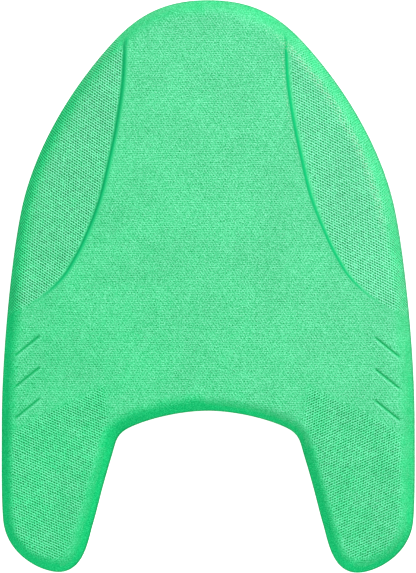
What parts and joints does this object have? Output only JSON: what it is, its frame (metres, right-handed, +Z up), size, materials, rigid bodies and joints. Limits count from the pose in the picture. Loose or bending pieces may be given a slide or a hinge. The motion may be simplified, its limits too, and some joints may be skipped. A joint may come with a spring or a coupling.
{
  "type": "kickboard float",
  "caption": "Flat foam swimming board with a rounded nose, sunk side grips, thumb grooves and a forked tail with two gripping legs.",
  "frame": {"origin": "middle of the flat base, under the middle of the board's length and width", "axes": "+Y towards the rounded nose, +X across the board to the right seen from above with the nose up, +Z up out of the textured deck"},
  "size_m": [0.3042, 0.42, 0.036],
  "materials": {
    "deck_facing_foam": "closed-cell foam skin, moulded fine mesh texture, matte with a soft sheen",
    "base_facing_foam": "closed-cell foam skin, moulded fine grain, matte",
    "core_foam": "cut closed-cell foam, matte",
    "deck_bond": "translucent hot-melt film",
    "base_bond": "translucent hot-melt film"
  },
  "bodies": {
    "root": {"deck_skin": "deck_facing_foam", "base_skin": "base_facing_foam", "foam_core": "core_foam", "deck_bond_film": "deck_bond", "base_bond_film": "base_bond"}
  },
  "joints": []
}
